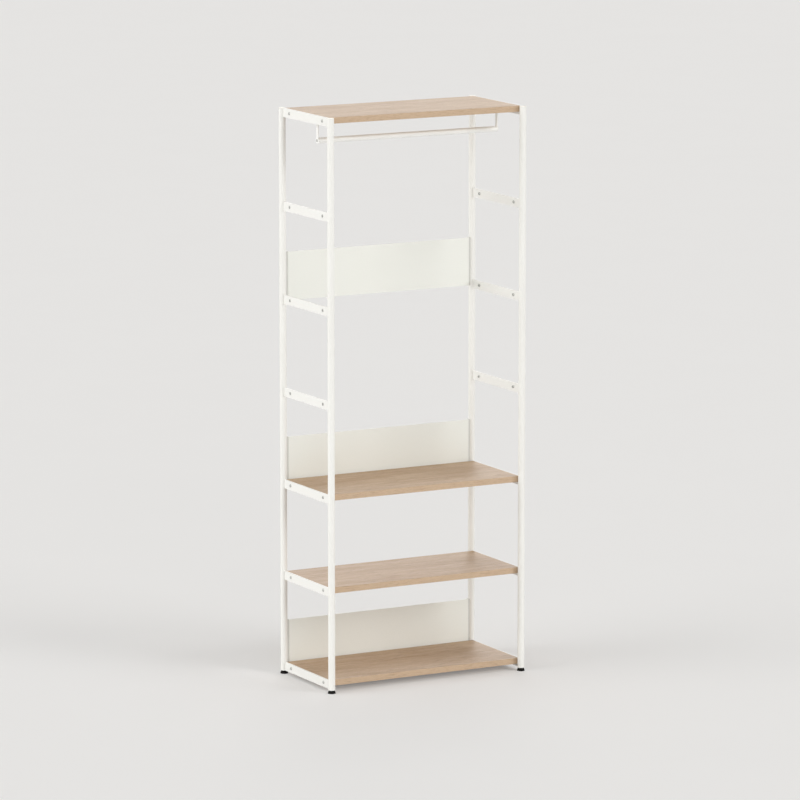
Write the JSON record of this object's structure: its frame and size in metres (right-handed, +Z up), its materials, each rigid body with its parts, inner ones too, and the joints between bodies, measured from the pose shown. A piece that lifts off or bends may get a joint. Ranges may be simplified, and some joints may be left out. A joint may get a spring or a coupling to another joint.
{
  "type": "clothes rack",
  "caption": "Tall open clothes rack: ladder sides of round tube and flat rungs, oak boards, low back panels and a hanging rail under the top board, on screw-adjusted feet.",
  "frame": {"origin": "on the floor, below the middle of the rack", "axes": "+Z up, +X to the right along the boards seen from the front, the front faces -Y"},
  "size_m": [0.812, 0.403, 2.085],
  "materials": {
    "white_powder_coat": "warm white powder coat, fine satin grain",
    "white_sheet": "warm white powder coat on thin sheet, satin",
    "oak": "pale oak, grain along the board, clear matt lacquer",
    "zinc_plated_steel": "zinc plated, dull grey",
    "white_plastic": "moulded white plastic, matt",
    "black_plastic": "moulded black plastic, matt",
    "grey_plastic": "soft grey extruded plastic, matt"
  },
  "bodies": {
    "rack": {"left_front_upright": "white_powder_coat", "left_front_cap": "white_plastic", "left_front_foot_insert": "black_plastic", "left_back_upright": "white_powder_coat", "left_back_cap": "white_plastic", "left_back_foot_insert": "black_plastic", "right_front_upright": "white_powder_coat", "right_front_cap": "white_plastic", "right_front_foot_insert": "black_plastic", "right_back_upright": "white_powder_coat", "right_back_cap": "white_plastic", "right_back_foot_insert": "black_plastic", "left_rung_1": "white_powder_coat", "left_rung_2": "white_powder_coat", "left_rung_3": "white_powder_coat", "left_rung_4": "white_powder_coat", "left_rung_5": "white_powder_coat", "left_rung_6": "white_powder_coat", "left_rung_7": "white_powder_coat", "right_rung_1": "white_powder_coat", "right_rung_2": "white_powder_coat", "right_rung_3": "white_powder_coat", "right_rung_4": "white_powder_coat", "right_rung_5": "white_powder_coat", "right_rung_6": "white_powder_coat", "right_rung_7": "white_powder_coat", "top_shelf": "oak", "top_shelf_sleeves": "zinc_plated_steel", "top_shelf_screws": "zinc_plated_steel", "middle_shelf": "oak", "middle_shelf_sleeves": "zinc_plated_steel", "middle_shelf_screws": "zinc_plated_steel", "lower_shelf": "oak", "lower_shelf_sleeves": "zinc_plated_steel", "lower_shelf_screws": "zinc_plated_steel", "bottom_shelf": "oak", "bottom_shelf_sleeves": "zinc_plated_steel", "bottom_shelf_screws": "zinc_plated_steel", "upper_back_panel": "white_sheet", "upper_panel_screws": "zinc_plated_steel", "middle_back_panel": "white_sheet", "middle_panel_screws": "zinc_plated_steel", "lower_back_panel": "white_sheet", "lower_panel_screws": "zinc_plated_steel", "panel_spacers": "grey_plastic", "rung_inserts": "zinc_plated_steel", "hanging_rail": "white_powder_coat", "left_rail_bracket": "white_powder_coat", "right_rail_bracket": "white_powder_coat", "rail_end_plugs": "white_plastic", "rail_end_screws": "zinc_plated_steel", "bracket_wood_screws": "zinc_plated_steel"},
    "left_front_foot": {"left_front_foot_pad": "black_plastic", "left_front_foot_stem": "zinc_plated_steel"},
    "left_back_foot": {"left_back_foot_pad": "black_plastic", "left_back_foot_stem": "zinc_plated_steel"},
    "right_front_foot": {"right_front_foot_pad": "black_plastic", "right_front_foot_stem": "zinc_plated_steel"},
    "right_back_foot": {"right_back_foot_pad": "black_plastic", "right_back_foot_stem": "zinc_plated_steel"}
  },
  "joints": [
    {"name": "left_front_foot_height", "type": "slide", "parent": "rack", "child": "left_front_foot", "axis": [0, 0, -1], "range_m": [0, 0.01]},
    {"name": "left_back_foot_height", "type": "slide", "parent": "rack", "child": "left_back_foot", "axis": [0, 0, -1], "range_m": [0, 0.01]},
    {"name": "right_front_foot_height", "type": "slide", "parent": "rack", "child": "right_front_foot", "axis": [0, 0, -1], "range_m": [0, 0.01]},
    {"name": "right_back_foot_height", "type": "slide", "parent": "rack", "child": "right_back_foot", "axis": [0, 0, -1], "range_m": [0, 0.01]}
  ]
}
